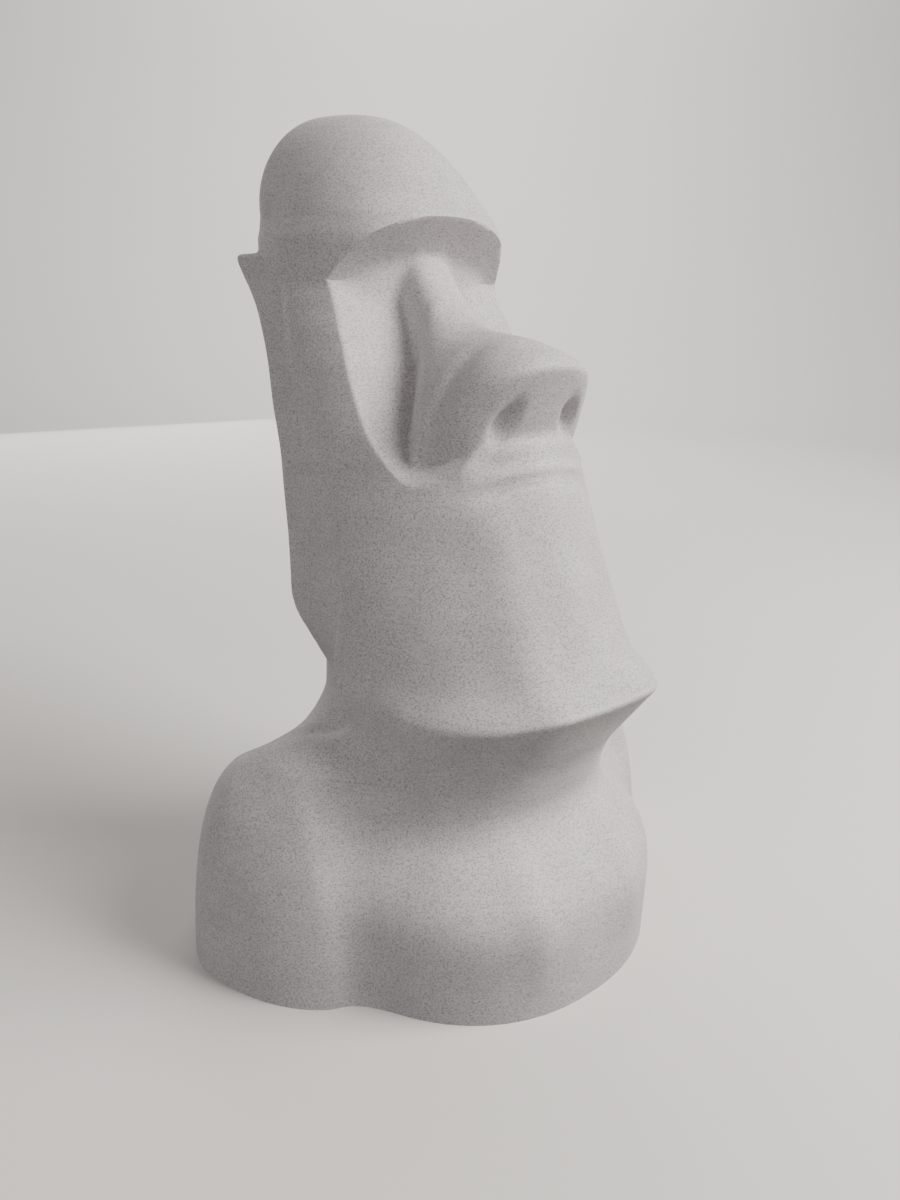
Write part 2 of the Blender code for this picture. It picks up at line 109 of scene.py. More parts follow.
# Roundness of the nose across: at the tip, what it gains up the bridge, and where.
BRIDGE = dict(tip=1.75, gain=1.1, y=5.0, run=40.0)
RIDGE = np.array([
    (-60.2, 370.6), (-56.5, 374.5), (-50, 378.0), (-40, 381.0), (-30, 383.5), (-12, 385.0),
    (3, 386.5), (17, 390.0), (27, 395.0), (38, 406.0), (47, 415.5), (58, 428.0), (72, 444.0)])
ROOT = np.array([
    (-16, 54.5, 313.8), (-8, 59.4, 311), (9, 48, 332), (24, 32.5, 345), (38, 21, 360),
    (54, 18.5, 385), (66, 19.5, 402), (72, 21, 411)])
NOSTRIL = dict(x=24.0, z=341.0, half_width=6.5, half_height=10.0, lean=0.25, depth=6.5, edge=1.5)
LOBE = dict(x=50.0, z=322.0, size=10.0, swell=2.0)
MOUTH = dict(z=304.3, drop=7.3, half=40.0, set_back=2.0, step=1.0, lip_z=11.0, lip=1.6,
             lip_height=3.6, end=12.0, end_run=26.0, top=328.0, top_run=12.0)
# Two soft upright folds down the lower face.
CHEEKS = dict(x=38.0, width=13.0, height=1.6, low=150.0, low_run=30.0, high=306.0, high_run=25.0)
# The carving fades in forwards from here: y and run for the face and for the nose's underside.
FACE_Y, FACE_RUN, UNDER_Y, UNDER_RUN = 30.0, 20.0, -30.0, 8.0

# Ears: height, y of the front edge, y of the back edge, half width at the face.
EAR = np.array([
    (222, 13, 60, 101.0), (247, 15, 65, 99.0), (265, 17, 69, 97.5), (290, 27, 77, 95.0),
    (313, 56, 86, 91.5), (339, 71, 97, 89.5), (365, 86, 105, 88.0), (393, 96, 118, 87.0),
    (420, 105, 144, 85.5)])
EAR_TOP, EAR_TOP_SLOPE, EAR_FRONT_ROOM, EAR_SIDE_SOFT = 424.0, 0.1, 3.0, 4.0
EAR_BOTTOM, EAR_RISE, EAR_RISE_Y, EAR_RISE_RUN, EAR_SLOPE = 222.0, 4.0, 60.0, 47.0, 1.8
EAR_FLARE, EAR_FLARE_TOP, EAR_FLARE_START, EAR_FLARE_RUN = 0.16, 0.10, 330.0, 60.0
# The face ends at the front of the ears; over them it runs so far back that nothing is cut off.
OVER_EARS, OVER_EARS_RUN = 400.0, 6.0
# Head behind the ears: height, half width, y of the widest place, front, back.
CORE = np.array([
    (100, 78, 30, -40, 112), (190, 78, 30, -30, 104), (230, 78, 35, 0, 108),
    (270, 80, 45, 0, 118), (300, 80, 60, 10, 128), (350, 79, 85, 30, 148),
    (400, 77, 105, 60, 166), (433, 75, 112, 60, 175), (440, 70, 112, 60, 174)])
CORE_TOP, CORE_ROUND = 440.0, 2.3

# Masses: middle, half width, reach to the front, back, top and bottom, and roundness.
SHOULDER = dict(x=134.0, y=43.0, half=46.2, front=77.1, back=66.0, z=-35.3, up=164.1, down=120.0,
                round=1.56, round_up=2.59)
CHEST = dict(half=121.1, y=34.5, front=152.9, back=118.0, z=30.9, up=57.0, down=339.0,
             round=2.25, round_up=3.85)
# Two soft upright folds on the chest.
FOLDS = dict(x=40.0, width=13.0, height=2.6, low=0.0, low_run=60.0, high=150.0, high_run=40.0,
             front=-40.0, front_run=30.0, valley=0.6, valley_width=20.0)
# Radii of the fillets and rounded edges between the masses.
BLEND_CHEST, BLEND_EDGE, BLEND_SEAM, BLEND_SOFT, WING_SOFT = 27.4, 2.0, 3.0, 6.0, 10.0
BLEND_NAPE = dict(soft=26.0, high=192.0, run=45.0)
BLEND_NECK = dict(most=69.0, least=6.0, high=185.0, run=51.0)
# Mean radii, which turn a share of an outline into millimetres.
HEAD_RADIUS, CHIN_RADIUS, CORE_RADIUS = 75.0, 90.0, 78.0
# Share of a gap measured along an axis that is true distance, where a face slants.
SLANT = dict(eye=0.8, brow=0.7, nose=0.8, nose_under=0.9, ear_top=0.9, ear_low=0.5)


def glide(t, knots, values):
    """Smooth curve through the knots that never overshoots; held at both ends."""
    k, v = np.asarray(knots, float), np.asarray(values, float)
    h = np.diff(k)
    d = np.diff(v) / h
    m = np.zeros_like(v)
    turn = d[:-1] * d[1:] <= 0
    low = np.where(turn, 1.0, d[:-1])
    high = np.where(turn, 1.0, d[1:])
    w1, w2 = 2 * h[1:] + h[:-1], h[1:] + 2 * h[:-1]
    m[1:-1] = np.where(turn, 0, (w1 + w2) / (w1 / low + w2 / high))
    m[0], m[-1] = d[0], d[-1]
    t = np.clip(t, k[0], k[-1])
    i = np.clip(np.searchsorted(k, t, side="right") - 1, 0, len(h) - 1)
    s = (t - k[i]) / h[i]
    return ((1 + 2 * s) * (1 - s) ** 2 * v[i] + s * (1 - s) ** 2 * h[i] * m[i]
            + s * s * (3 - 2 * s) * v[i + 1] + s * s * (s - 1) * h[i] * m[i + 1])


def join(a, b, soft):
    """Union of two forms with a fillet."""
    h = np.clip(0.5 + 0.5 * (b - a) / soft, 0, 1)
    return b + (a - b) * h - soft * h * (1 - h)


def meet(a, b, soft):
    """What two forms share, with a rounded edge."""
    return -join(-a, -b, soft)


def ease(t):
    """0 to 1 with flat ends."""
    t = np.clip(t, 0, 1)
    return t * t * (3 - 2 * t)


def oval(x, y, half, mid, front, back, front_round, back_round):
    """1 on a rounded outline, less inside it."""
    u = np.abs(x) / half
    v = np.where(y < mid, (mid - y) / (mid - front), (y - mid) / np.maximum(back - mid, 5))
    n = np.where(y < mid, front_round, back_round)
    return (u ** n + v ** n) ** (1 / n)


def head_shell(x, y, z):
    """Head with a rounded crown, drawn in under the chin's edge."""
    lift = glide(y, CHIN_EDGE[:, 0], CHIN_EDGE[:, 1]) - CHIN_LEVEL
    level = z - lift * ease(1 - np.abs(z - DIP_MIDDLE) / DIP_REACH)
    half, mid, front, back, rounded = (glide(level, HEAD[:, 0], HEAD[:, i]) for i in range(1, 6))
    c = CROWN
    w = np.clip((z - c["start"]) / (c["top"] - c["start"]), 0, 3)
    rounded = np.maximum(rounded - c["soften"] * w, c["least_round"])
    back_share = ease((z - c["back_start"]) / c["back_run"])
    back_round = HEAD_BACK_ROUND + (c["back_round"] - HEAD_BACK_ROUND) * back_share
    leaned = y - c["lean"] * w - c["lean_back"] * w * w
    r = oval(x, leaned, half - c["narrow"] * w, mid, front, back - c["shrink"] * w, rounded, back_round)
    r = (r ** c["sharp"] + w ** c["sharp"]) ** (1 / c["sharp"])
    share = glide(level, NECK[:, 0], NECK[:, 1])
    k = CHIN
    wide = 1 - k["side"] * (1 - share)
    under = oval(x, y, k["half_width"] * wide, k["mid"], k["mid"] - k["front"] * share,
                 k["mid"] + k["back"] * share, k["roundness"], HEAD_BACK_ROUND)
    return meet((r - 1) * HEAD_RADIUS, (under - 1) * CHIN_RADIUS, BLEND_EDGE)


def brow_edge(s):
    """y and height of the brow's edge; s runs 0 to 1 from the middle to the end."""
    b = BROW
    y = b["y"] + (b["crease_y"] - b["y"]) * s ** 4
    z = b["z"] - (b["z"] - b["crease_z"]) * (b["arch"] * s ** 2 + b["hook"] * s ** 6)
    return y, z


def eye_depth(z):
    """y of the flat hollow under the brow."""
    s = np.clip(BROW["crease_z"] - z, 0, 200)
    return BROW["crease_y"] - EYE_SLOPE * s - EYE_CURVE * s * s


def eye_hollow(x, y, z):
    """Below 0 in the space cut away under the brow."""
    s = np.clip(np.abs(x) / BROW["half"], 0, 0.999)
    edge_y, edge_z = brow_edge(s)
    run = (BROW["crease_y"] - y) / np.maximum(BROW["crease_y"] - edge_y, 0.001)
    run = np.clip(run, -1, 1.6)
    bowed = np.sign(run) * np.abs(run) ** UNDER_CURVE
    under = BROW["crease_z"] + (edge_z - BROW["crease_z"]) * bowed
    return np.maximum((y - eye_depth(z)) * SLANT["eye"], (z - under) * SLANT["brow"])


def nose_edge(t):
    """Point of the underside's front edge; t is 0 in the middle, a quarter turn at the wing."""
    s = 1 - np.cos(t)
    n = NOSE
    fall = n["drop"] * s + n["drop_more"] * s * s
    return n["half"] * np.sin(t), n["tip_y"] + n["back"] * s, n["tip_z"] - fall


EDGE_X, EDGE_Y, EDGE_Z = nose_edge(np.linspace(0, np.pi / 2, 60))
SIDE_Y = np.concatenate([EDGE_Y, ROOT[1:, 0]])
SIDE_X = np.concatenate([EDGE_X, ROOT[1:, 1]])
SIDE_Z = np.concatenate([EDGE_Z, ROOT[1:, 2]])


def nose(x, y, z):
    """Rounded ridge over the line where the nose leaves the face, cut off by its underside."""
    x = np.abs(x)
    n = NOSE
    side = np.maximum(np.interp(y, SIDE_Y, SIDE_X), n["least"])
    foot = np.interp(y, SIDE_Y, SIDE_Z)
    top = np.maximum(glide(y, RIDGE[:, 0], RIDGE[:, 1]), foot + n["least"])
    tall = top - foot
    up = np.maximum(z - foot, 0) / tall
    blunt = BRIDGE["tip"] + BRIDGE["gain"] * ease((y - BRIDGE["y"]) / BRIDGE["run"])
    r = ((x / side) ** blunt + up ** blunt) ** (1 / blunt)
    f = (r - 1) * np.minimum(side, tall) * SLANT["nose"]
    f = np.maximum(f, n["tip_y"] - y)
    edge_z = np.interp(x, EDGE_X, EDGE_Z)
    edge_y = np.interp(x, EDGE_X, EDGE_Y)
    under = edge_y + n["under"] * (edge_z - z)
    soft = BLEND_EDGE + WING_SOFT * ease((x - n["wing_x"]) / n["wing_run"])
    f = meet(f, (under - y) * SLANT["nose_under"], soft)
    return np.maximum(np.maximum(f, n["low"] - z), y - n["inner"])


def ear(x, y, z):
    """Flat strip standing off the side of the head."""
    x = np.abs(x)
    front, back, face = (glide(z, EAR[:, 0], EAR[:, i]) for i in (1, 2, 3))
    flare = EAR_FLARE + EAR_FLARE_TOP * ease((z - EAR_FLARE_START) / EAR_FLARE_RUN)
    f = meet(x - face - flare * (y - back), y - back, EAR_SIDE_SOFT)
    f = meet(f, front - EAR_FRONT_ROOM - y, BLEND_EDGE)
    f = meet(f, (z - EAR_TOP - EAR_TOP_SLOPE * (face - x)) * SLANT["ear_top"], BLEND_EDGE)
    low = EAR_BOTTOM + EAR_RISE * ease((EAR_RISE_Y - y) / EAR_RISE_RUN)
    return meet(f, (low - EAR_SLOPE * (face - x) - z) * SLANT["ear_low"], BLEND_SOFT)


def core(x, y, z):
    """Head behind and between the ears."""
    half, mid, front, back = (glide(z, CORE[:, 0], CORE[:, i]) for i in (1, 2, 3, 4))
    r = oval(x, y, half, mid, front, back, CORE_ROUND, CORE_ROUND)
    return np.maximum((r - 1) * CORE_RADIUS, z - CORE_TOP)


def relief(x, y, z):
    """Shallow carving of the lower face, in mm taken off; what stands out counts below 0."""
    x = np.abs(x)
    front = ease((FACE_Y - y) / FACE_RUN)
    m = MOUTH
    line = m["z"] - m["drop"] * (x / m["half"]) ** 2
    near = (ease((m["half"] + m["end"] - x) / m["end_run"])
            * ease((m["top"] - z) / m["top_run"]) * front)
    lip = m["lip"] * np.exp(-((z - line - m["lip_z"]) / m["lip_height"]) ** 2)
    cut = near * (m["set_back"] * ease((z - line) / m["step"] + 0.5) - lip)
    under = ease((UNDER_Y - y) / UNDER_RUN)
    n = NOSTRIL
    du = (x - n["x"] + n["lean"] * (z - n["z"])) / n["half_width"]
    dv = (z - n["z"]) / n["half_height"]
    cut = cut + n["depth"] * np.exp(-(du * du + dv * dv) ** n["edge"]) * under
    b = LOBE
    swell = np.exp(-((x - b["x"]) / b["size"]) ** 2 - ((z - b["z"]) / b["size"]) ** 2)
    cut = cut - b["swell"] * swell * under
    c = CHEEKS
    along = ease((z - c["low"]) / c["low_run"]) * ease((c["high"] - z) / c["high_run"]) * front
    return cut - c["height"] * along * np.exp(-((x - c["x"]) / c["width"]) ** 2)


def chest_relief(x, y, z):
    """Two soft upright folds with a shallow valley between them; what stands out counts below 0."""
    k = FOLDS
    band = (ease((z - k["low"]) / k["low_run"]) * ease((k["high"] - z) / k["high_run"])
            * ease((k["front"] - y) / k["front_run"]))
    folds = np.exp(-((np.abs(x) - k["x"]) / k["width"]) ** 2)
    valley = k["valley"] * np.exp(-(x / k["valley_width"]) ** 2)
    return -k["height"] * band * (folds - valley)


def head(x, y, z):
    """Head with its hollow, nose, core, ears and carving."""
    shell = head_shell(x, y, z)
    end, run = (glide(np.abs(x), EYE_END[:, 0], EYE_END[:, i]) for i in (1, 2))
    f = shell + ease((z - end) / run) * (np.maximum(shell, -eye_hollow(x, y, z)) - shell)
    over = np.clip((z - EAR_TOP) / OVER_EARS_RUN, 0, 1)
    behind = glide(z, EAR[:, 0], EAR[:, 1]) + OVER_EARS * over
    b = BLEND_NAPE
    f = meet(f, y - behind, BLEND_SEAM + b["soft"] * ease((b["high"] - z) / b["run"]))
    f = join(f, nose(x, y, z), BLEND_SEAM)
    f = join(f, core(x, y, z), BLEND_SOFT)
    f = join(f, ear(x, y, z), BLEND_SEAM)
    return f + relief(x, y, z)


def mound(x, y, z, k):
    """Rounded mass standing on the ground."""
    up = np.where(z > k["z"], (z - k["z"]) / k["up"], (k["z"] - z) / k["down"])
    v = np.where(y < k["y"], (k["y"] - y) / k["front"], (y - k["y"]) / k["back"])
    r = (np.abs(x) / k["half"]) ** k["round"] + v ** k["round"]
    r = (r ** (k["round_up"] / k["round"]) + up ** k["round_up"]) ** (1 / k["round_up"])
    return (r - 1) * k["half"]


def form(x, y, z):
    """Below 0 inside the statue, roughly the distance to its surface near it."""
    shoulders = mound(np.abs(x) - SHOULDER["x"], y, z, SHOULDER)
    body = join(shoulders, mound(x, y, z, CHEST), BLEND_CHEST) + chest_relief(x, y, z)
    b = BLEND_NECK
    soft = b["least"] + (b["most"] - b["least"]) * ease((b["high"] - z) / b["run"])
    return join(head(x, y, z), body, soft)


# Rays leave a curved spine inside the statue and tilt up towards the crown.
# Spine: place from 0 to 1, y and height. Tilt: place and degrees.
SPINE = np.array([
    (0, 30, 0), (0.30, 22, 96), (0.42, 20, 155), (0.62, 55, 290), (0.82, 105, 395), (1, 125, 430)])
TILT = np.array([(0, 0), (0.12, 10), (0.3, 24), (0.45, 21), (0.8, 22), (0.9, 45), (1.0, 90)])
# Steepest tilt, in radians, that is still told from upright.
STEEPEST = 1.55


def spine(v):
    """y, height and tilt of the rays at a place on the spine."""
    return (glide(v, SPINE[:, 0], SPINE[:, 1]), glide(v, SPINE[:, 0], SPINE[:, 2]),
            np.radians(glide(v, TILT[:, 0], TILT[:, 1])))


def locate(x, y, z, halvings=40):
    """Place on the spine and turn of the ray that runs through a point."""
    x, y, z = (np.asarray(c, float) for c in (x, y, z))
    low, high = np.zeros_like(x), np.ones_like(x)
    for _ in range(halvings):
        v = (low + high) / 2
        oy, oz, tilt = spine(v)
        below = oz + np.hypot(x, y - oy) * np.tan(np.minimum(tilt, STEEPEST)) < z
        low, high = np.where(below, v, low), np.where(below, high, v)
    oy = spine(v)[0]
    return v, np.arctan2(np.abs(x), oy - y)


def reach(v, turn, far=250.0, marches=84, halvings=24):
    """Surface points on the rays."""
    oy, oz, tilt = spine(v)
    d = np.stack([np.sin(turn) * np.cos(tilt), -np.cos(turn) * np.cos(tilt), np.sin(tilt)], -1)
    o = np.stack([0 * oy, oy, oz], -1)
    low = np.zeros(turn.shape)
    for t in np.linspace(0, far, marches):
        p = o + d * t
        low = np.where(form(p[..., 0], p[..., 1], p[..., 2]) < 0, t, low)
    high = low + far / (marches - 1)
    for _ in range(halvings):
        t = (low + high) / 2
        p = o + d * t[..., None]
        inside = form(p[..., 0], p[..., 1], p[..., 2]) < 0
        low, high = np.where(inside, t, low), np.where(inside, high, t)
    return o + d * low[..., None]


def traced(points):
    """Turn and spine place along a line given by points from front to back."""
    p = np.array(points, float)
    v, turn = locate(p[:, 0], p[:, 1], p[:, 2])
    return turn, v


# Points that guide the rows, from front to back: x, y and height. Three rows start on the chin's
# edge, the nose's edge and the brow's edge, and only their backs are given here.
NECK_ROW = [(0, -90, 128), (45, -82, 130), (75, -45, 137), (92, 5, 148), (92, 40, 152),
            (80, 85, 145), (0, 113, 135)]
CHIN_ROW_BACK = [(85, 55, 192), (0, 104, 200)]
LOBE_ROW = [(0, -93, 226), (50, -80, 226), (80, -50, 226), (98, 0, 223), (101, 18, 223),
            (101, 60, 221), (80, 80, 222), (0, 108, 228)]
MOUTH_ROW = [(0, -53.4, 304.3), (20, -51, 302.5), (40, -44.4, 297), (62, -22, 292), (90, 40, 298),
             (92, 85, 300), (0, 130, 302)]
WING_ROW = [(0, -44, 325), (20, -43, 324), (38, -37, 321), (50, -24, 313), (59, -9, 310.5),
            (72, 4, 312), (88, 50, 318), (91, 90, 322), (0, 138, 326)]
NOSE_ROW_BACK = [(60, -6, 313), (70, 8, 330), (85, 60, 345), (89, 100, 350), (0, 148, 352)]
CREASE_ROW = [(0, 50, 431), (10, 51, 430.5), (18, 57, 425), (23, 69.7, 412), (40, 69.7, 411),
              (64.7, 69.7, 410.9), (74, 85, 416), (80, 100, 420.5), (85.5, 125, 421),
              (85, 144, 421), (0, 174, 422)]
BROW_ROW_BACK = [(74, 88, 421), (76.5, 105, 427), (77, 125, 427.5), (70, 145, 428), (0, 176, 430)]
# The same for the columns of the ear's front and of the step behind it, under the ear.
JAW_FRONT = [(84, 12, 150), (95, 12, 165), (101.5, 12, 190)]
JAW_STEP = [(78, 14, 150), (79, 14, 165), (80, 14, 200)]
# How each column goes on below and above its points: place on the spine and degrees.
ROOT_ENDS = [(0, 22), (0.42, 24), (0.5, 32)], [(0.88, 30), (1, 30)]
HOLLOW_ENDS = [(0, 48), (0.42, 50), (0.55, 57)], [(0.9, 60), (1, 62)]
EAR_FRONT_ENDS = [(0, 78), (0.25, 82)], [(0.9, 92), (1, 96)]
EAR_STEP_ENDS = [(0, 86), (0.25, 88)], [(0.9, 98), (1, 103)]
EAR_BACK_ENDS = [(0, 110), (0.3, 112)], [(0.9, 115), (1, 125)]
# Height where the hollow's side line starts, and the two x that it lies between.
HOLLOW_LOW, HOLLOW_NEAR, HOLLOW_WIDE = 320.0, 45.0, 95.0
EDGE_POINTS, HOLLOW_POINTS = 15, 14


def chin_edge():
    """Points of the chin's edge from the middle to the jaw's side: a rounded outline whose height
    follows the dip."""
    k = CHIN
    t = np.linspace(0, np.pi / 2, EDGE_POINTS)
    x = k["half_width"] * np.sin(t) ** (2 / k["roundness"])
    y = k["mid"] - k["front"] * np.cos(t) ** (2 / k["roundness"])
    return list(zip(x, y, glide(y, CHIN_EDGE[:, 0], CHIN_EDGE[:, 1])))


def hollow_side(halvings=30):
    """Points up the outer side of the hollow, where its flat meets the head's outside."""
    level = np.linspace(HOLLOW_LOW, BROW["crease_z"], HOLLOW_POINTS)
    near, wide = np.full(HOLLOW_POINTS, HOLLOW_NEAR), np.full(HOLLOW_POINTS, HOLLOW_WIDE)
    for _ in range(halvings):
        mid = (near + wide) / 2
        inside = head_shell(mid, eye_depth(level), level) < 0
        near, wide = np.where(inside, mid, near), np.where(inside, wide, mid)
    return list(zip(near, eye_depth(level), level))


def ring_lines():
    """Level lines that the rows follow, bottom to top, as (turn, spine place)."""
    nose_row = list(zip(*nose_edge(np.linspace(0, np.pi / 2, EDGE_POINTS))))
    s = np.linspace(0, 1, EDGE_POINTS)
    brow_row = list(zip(BROW["half"] * s, *brow_edge(s)))
    full = np.array([0, np.pi])
    rows = [NECK_ROW, chin_edge() + CHIN_ROW_BACK, LOBE_ROW, MOUTH_ROW, WING_ROW,
            nose_row + NOSE_ROW_BACK, CREASE_ROW, brow_row + BROW_ROW_BACK]
    return [(full, full * 0)] + [traced(points) for points in rows] + [(full, full * 0 + 1)]


def upright(points, ends):
    """Spine place and turn along a column given by its points and by how it goes on."""
    turn, v = traced(points)
    places, degrees = zip(*(np.transpose(end) for end in ends))
    return (np.concatenate([places[0], v, places[1]]),
            np.concatenate([np.radians(degrees[0]), turn, np.radians(degrees[1])]))


def column_lines():
    """Upright lines that the columns follow, front to back, as (spine place, turn)."""
    root = [(x, y, z) for y, x, z in ROOT[1:]]
    ear_front = JAW_FRONT + [(face + 1, front - 1, z) for z, front, _, face in EAR]
    step = JAW_STEP + [(face - 1, front + 2, z) for z, front, _, face in EAR]
    ear_back = [(face, back, z) for z, _, back, face in EAR]
    ends = np.array([0.0, 1.0])
    return [(ends, ends * 0), upright(root, ROOT_ENDS), upright(hollow_side(), HOLLOW_ENDS),
            upright(ear_front, EAR_FRONT_ENDS), upright(step, EAR_STEP_ENDS),
            upright(ear_back, EAR_BACK_ENDS), (ends, ends * 0 + np.pi)]


# Rows and columns between the lines, for the CAD solid.
ROWS = [10, 6, 4, 6, 3, 4, 9, 3, 9]
COLUMNS = [11, 8, 7, 1, 5, 10]
# The single column across the step at the ear's front gets this many in the fine surface.
STEP_COLUMNS = 3
# Least room of a band: so much of the spine for each of its rows, for so many at most.
ROW_GAP, GAP_ROWS = 0.0022, 6
# Column lines of the ear's front and of its step, and the least turn from the line before.
EAR_LINES, EAR_LINE_GAP = (3, 4), 0.010


def spread(counts):
    """Band number and place in the band for every grid line."""
    band = np.concatenate([np.full(n, i) for i, n in enumerate(counts)] + [[len(counts) - 1]])
    place = np.concatenate([np.arange(n) / n for n in counts] + [[1.0]])
    return band, place


def grid(rows, columns, rounds=14):
    """Spine place and turn of every grid corner of the right half."""
    rings, uprights = ring_lines(), column_lines()
    rb, rp = spread(rows)
    cb, cp = spread(columns)
    turn = np.pi * (np.arange(len(cb)) / (len(cb) - 1))[None, :] * np.ones((len(rb), 1))
    v = np.zeros_like(turn)
    for done in range(rounds):
        levels = [np.interp(turn, *r) for r in rings]
        for i, n in enumerate(rows[:-1]):
            need = ROW_GAP * min(n, GAP_ROWS) * (ROWS[i] / n)
            room = levels[i + 1] - levels[i]
            levels[i + 1] = levels[i] + (room + np.sqrt(room * room + 4 * need * need)) / 2
        levels = np.array(levels)
        k = np.arange(len(rb))
        new = levels[rb][k, k] * (1 - rp[:, None]) + levels[rb + 1][k, k] * rp[:, None]
        v = (v + new) / 2 if done else new
        lines = np.array([np.interp(v, *c) for c in uprights])
        c = np.arange(len(cb))
        for i in EAR_LINES:
            lines[i] = np.maximum(lines[i], lines[i - 1] + EAR_LINE_GAP)
        aim = lines[cb][c, :, c].T * (1 - cp) + lines[cb + 1][c, :, c].T * cp
        turn = (turn + aim) / 2
    return v, turn


def fine_grid(rows_factor, columns_factor):
    """Surface points of the whole statue at a finer pitch, one row per ring, closed around.

    Rays leave the spine at every grid corner of the right half. Each is followed outwards to the
    last place inside the form, and the left half is its mirror image. The last row is the crown.
    """
    rows = [n * rows_factor for n in ROWS]
    columns = [n * (columns_factor if n > 1 else STEP_COLUMNS) for n in COLUMNS]
    v, turn = grid(rows, columns)
    right = reach(v, turn)
    left = (right * [-1, 1, 1])[:, -2:0:-1]
    points = np.concatenate([right, left], 1)
    points[-1] = points[-1].mean(0)
    return points


def fit_to_box(points, low, high):
    """Moves and stretches the points so that their box is the given one."""
    own_low, own_high = points.min((0, 1)), points.max((0, 1))
    share = (points - own_low) / (own_high - own_low)
    return np.array(low) + share * (np.array(high) - np.array(low))


def bending(points, step=3, least_normal=1e-12, least_span=1e-6):
    """Curvature per metre at each point of the rings: above 0 on an edge, below 0 in a crease.

    Along the rows and along the columns it is minus the second difference over the normal, divided
    by the square of the distance; of the two the stronger counts.
    """
    rows = np.arange(points.shape[0])
    above, below = points[np.minimum(rows + step, rows[-1])], points[np.maximum(rows - step, 0)]
    right, left = np.roll(points, -step, 1), np.roll(points, step, 1)
    normal = np.cross(right - left, above - below)
    normal /= np.maximum(np.linalg.norm(normal, axis=-1, keepdims=True), least_normal)
    found = []
    for first, second in ((above, below), (right, left)):
        span = np.maximum(((first - second) ** 2).sum(-1) / 4, least_span)
        found.append(-((first + second - 2 * points) * normal).sum(-1) / span)
    across = np.where(np.abs(found[0]) > np.abs(found[1]), found[0], found[1])
    across[:step + 1] = 0.0
    across[-step - 1:] = 0.0
    return across


def closed_mesh(name, points):
    """Mesh of rings with quads between them and a fan at the foot and the crown.

    The point attribute bend holds the curvature for the material.
    """
    rows, around = points.shape[:2]
    foot_at, crown_at = (rows - 1) * around, (rows - 1) * around + 1
    foot = np.array([[0.0, points[0, :, 1].mean(), points[0, 0, 2]]])
    corners = np.concatenate([points[:-1].reshape(-1, 3), foot, points[-1, :1]])
    i = np.arange(rows - 2)[:, None] * around
    j = np.arange(around)[None, :]
    k = (j + 1) % around
    quads = np.stack([i + j, i + k, i + around + k, i + around + j], -1).reshape(-1, 4)
    last = (rows - 2) * around
    j, k = j[0], k[0]
    fans = np.concatenate([np.stack([k, j, j * 0 + foot_at], -1),
                           np.stack([last + j, last + k, j * 0 + crown_at], -1)])
    data = bpy.data.meshes.new(name)
    data.from_pydata(corners.tolist(), [], quads.tolist() + fans.tolist())
    bend = np.concatenate([bending(points)[:-1].ravel(), [0.0, 0.0]])
    data.attributes.new("bend", "FLOAT", "POINT").data.foreach_set("value", bend.astype(np.float32))
    data.shade_smooth()
    data.set_sharp_from_angle(angle=SHARP_ANGLE)
    return data


def sweep_mesh(name, radius, bend, wall, inner_rings=(0.25, 0.5, 1.0), bend_rings=17, around=96):
    """Round floor that bends up into a wall: a profile turned about the upright axis.

    The profile is level from the middle to the radius, then a quarter circle, then upright; a point
    at angle a is (r cos a, r sin a, z).
    """
    a = np.linspace(0, math.pi / 2, bend_rings)
    r = np.concatenate([inner_rings, radius + bend * np.sin(a), [radius + bend]])
    z = np.concatenate([[0.0] * len(inner_rings), bend * (1 - np.cos(a)), [bend + wall]])
    turn = np.arange(around) * 2 * math.pi / around
    points = np.stack([r[:, None] * np.cos(turn), r[:, None] * np.sin(turn), z[:, None] + 0 * turn], -1)
    i = np.arange(len(r) - 1)[:, None] * around
    j = np.arange(around)[None, :]
    k = (j + 1) % around
    quads = np.stack([i + j, i + around + j, i + around + k, i + k], -1).reshape(-1, 4)
    data = bpy.data.meshes.new(name)
    data.from_pydata(points.reshape(-1, 3).tolist(), [], quads.tolist() + [list(range(around))])
    data.shade_smooth()
    return data


class Graph:
    """Shader tree of one material."""

    def __init__(self, name):
        self.material = bpy.data.materials.new(name)
        self.material.use_nodes = True
        self.tree = self.material.node_tree
        self.shader = self.tree.nodes["Principled BSDF"]

    def node(self, kind, inputs=None, **settings):
        """Adds a node, sets its options, and links or sets its inputs by name or number."""
        made = self.tree.nodes.new(kind)
        for key, value in settings.items():
            setattr(made, key, value)
        for key, value in (inputs or {}).items():
            self.put(made.inputs[key], value)
        return made

    def put(self, socket, value):
        """Links a signal to a socket, or sets a constant on it."""
        if isinstance(value, Signal):
            self.tree.links.new(value.socket, socket)
        elif isinstance(value, bpy.types.NodeSocket):
            self.tree.links.new(value, socket)
        else:
            socket.default_value = value

    def place(self):
        """Object coordinates, in metres."""
        return self.node("ShaderNodeTexCoord").outputs["Object"]

    def stretched(self, vector, factors):
        """The vector multiplied axis by axis."""
        made = self.node("ShaderNodeVectorMath", {0: vector, 1: factors}, operation="MULTIPLY")
        return made.outputs["Vector"]

    def noise(self, vector, scale, detail, rough=0.5):
        """Noise from 0 to 1 at so many features per metre."""
        made = self.node("ShaderNodeTexNoise", {
            "Vector": vector, "Scale": scale, "Detail": detail, "Roughness": rough})
        return Signal(self, made.outputs["Fac"])

    def blend(self, share, first, second):
        """Colour between two colours. A Mix node has its colours on inputs 6 and 7, output 2."""
        made = self.node("ShaderNodeMix", data_type="RGBA")
        self.put(made.inputs[0], share)
        self.put(made.inputs[6], first)
        self.put(made.inputs[7], second)
        return made.outputs[2]


